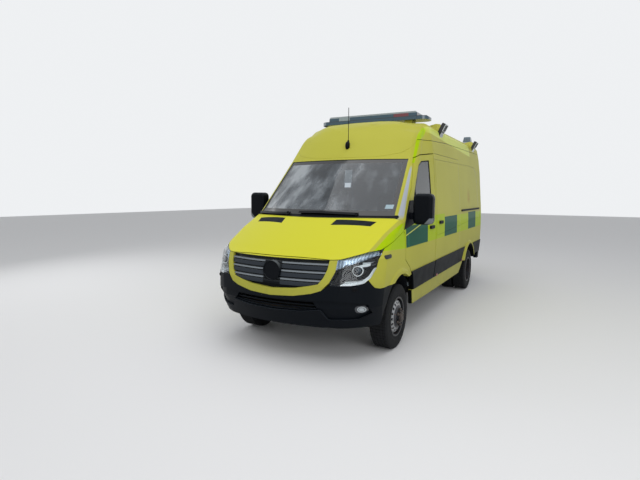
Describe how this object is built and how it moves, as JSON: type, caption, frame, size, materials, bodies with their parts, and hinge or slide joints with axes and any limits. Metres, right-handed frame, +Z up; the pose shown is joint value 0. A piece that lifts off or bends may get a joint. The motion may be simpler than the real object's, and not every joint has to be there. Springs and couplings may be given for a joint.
{
  "type": "ambulance",
  "caption": "High-roof panel-van ambulance with a chequered side band, roof light bar, opening doors and bonnet, steered front wheels and twin rear wheels.",
  "frame": {"origin": "on the ground, under the middle of the vehicle's length and width", "axes": "+X to the vehicle's left side, +Y to its rear, +Z up"},
  "size_m": [2.426, 6.0467, 2.7619],
  "materials": {
    "body_paint": "gloss",
    "glazing": "clear",
    "clear_lens": "clear",
    "dark_plastic": "satin",
    "cab_plastic": "matte",
    "seat_cloth": "woven",
    "lamp_unit": "gloss",
    "red_lens": "gloss",
    "blue_lens": "gloss",
    "inner_panel": "satin",
    "chassis_steel": "satin",
    "wheel_steel": "satin",
    "tyre_rubber": "matte",
    "tread_aluminium": "brushed"
  },
  "bodies": {
    "body": {"roof": "body_paint", "cab_frame": "body_paint", "windscreen": "glazing", "grille_surround": "body_paint", "grille": "dark_plastic", "headlight_lenses": "clear_lens", "headlight_housings": "dark_plastic", "front_bumper": "dark_plastic", "fog_lamps": "lamp_unit", "fenders": "body_paint", "sliding_doors": "body_paint", "side_panels": "body_paint", "tail_lamps": "red_lens", "sills": "body_paint", "side_trim": "dark_plastic", "floor_pan": "inner_panel", "wheel_housings": "dark_plastic", "bulkhead": "cab_plastic", "body_hoops": "inner_panel", "front_suspension": "chassis_steel", "chassis_frame": "chassis_steel", "rear_axle": "chassis_steel", "engine_block": "chassis_steel", "fuel_tank": "dark_plastic", "exhaust": "chassis_steel", "dashboard": "cab_plastic", "cab_seats": "seat_cloth", "light_bar": "blue_lens", "rear_beacons": "blue_lens", "scene_lamps": "lamp_unit", "antenna": "dark_plastic", "wipers": "dark_plastic", "rear_bumper": "dark_plastic", "rear_step": "tread_aluminium"},
    "bonnet": {"bonnet": "body_paint", "bonnet_vents": "dark_plastic"},
    "front_door_left": {"front_door_left": "body_paint", "door_glass_left": "glazing", "door_trim_left": "dark_plastic", "door_mirror_left": "dark_plastic"},
    "front_door_right": {"front_door_right": "body_paint", "door_glass_right": "glazing", "door_trim_right": "dark_plastic", "door_mirror_right": "dark_plastic"},
    "rear_door_left": {"rear_door_left": "body_paint", "rear_glass_left": "glazing"},
    "rear_door_right": {"rear_door_right": "body_paint", "rear_glass_right": "glazing"},
    "knuckle_left": {"knuckle_left": "chassis_steel"},
    "knuckle_right": {"knuckle_right": "chassis_steel"},
    "front_wheel_left": {"front_rim_left": "wheel_steel", "front_tyre_left": "tyre_rubber"},
    "front_wheel_right": {"front_rim_right": "wheel_steel", "front_tyre_right": "tyre_rubber"},
    "rear_wheel_left": {"rear_rims_left": "wheel_steel", "rear_tyres_left": "tyre_rubber"},
    "rear_wheel_right": {"rear_rims_right": "wheel_steel", "rear_tyres_right": "tyre_rubber"},
    "steering_wheel": {"steering_wheel": "dark_plastic"}
  },
  "joints": [
    {"name": "bonnet_lid", "type": "hinge", "parent": "body", "child": "bonnet", "pos_m": [0, -1.905, 1.43], "axis": [-1, 0, 0], "range_deg": [0, 60]},
    {"name": "front_door_left_swing", "type": "hinge", "parent": "body", "child": "front_door_left", "pos_m": [0.985, -1.91, 1.2], "axis": [0, 0, -1], "range_deg": [0, 70]},
    {"name": "front_door_right_swing", "type": "hinge", "parent": "body", "child": "front_door_right", "pos_m": [-0.985, -1.91, 1.2], "axis": [0, 0, 1], "range_deg": [0, 70]},
    {"name": "rear_door_left_swing", "type": "hinge", "parent": "body", "child": "rear_door_left", "pos_m": [0.787, 2.87, 1.4], "axis": [0, 0, -1], "range_deg": [0, 180]},
    {"name": "rear_door_right_swing", "type": "hinge", "parent": "body", "child": "rear_door_right", "pos_m": [-0.787, 2.87, 1.4], "axis": [0, 0, 1], "range_deg": [0, 180]},
    {"name": "steer_left", "type": "hinge", "parent": "body", "child": "knuckle_left", "pos_m": [0.815, -2.005, 0.345], "axis": [0, 0, 1], "range_deg": [-38, 38]},
    {"name": "steer_right", "type": "hinge", "parent": "body", "child": "knuckle_right", "pos_m": [-0.815, -2.005, 0.345], "axis": [0, 0, 1], "range_deg": [-38, 38]},
    {"name": "front_wheel_left_spin", "type": "hinge", "parent": "knuckle_left", "child": "front_wheel_left", "pos_m": [0.855, -2.005, 0.345], "axis": [1, 0, 0], "continuous": true},
    {"name": "front_wheel_right_spin", "type": "hinge", "parent": "knuckle_right", "child": "front_wheel_right", "pos_m": [-0.855, -2.005, 0.345], "axis": [1, 0, 0], "continuous": true},
    {"name": "rear_wheel_left_spin", "type": "hinge", "parent": "body", "child": "rear_wheel_left", "pos_m": [0.775, 1.66, 0.345], "axis": [1, 0, 0], "continuous": true},
    {"name": "rear_wheel_right_spin", "type": "hinge", "parent": "body", "child": "rear_wheel_right", "pos_m": [-0.775, 1.66, 0.345], "axis": [1, 0, 0], "continuous": true},
    {"name": "steering_wheel_turn", "type": "hinge", "parent": "body", "child": "steering_wheel", "pos_m": [0.45, -1.365, 1.235], "axis": [0, 0.8829, 0.4695], "range_deg": [-540, 540]}
  ],
  "couplings": [
    {"joint": "steer_right", "follows": "steer_left", "ratio": 1},
    {"joint": "steering_wheel_turn", "follows": "steer_left", "ratio": 14}
  ]
}
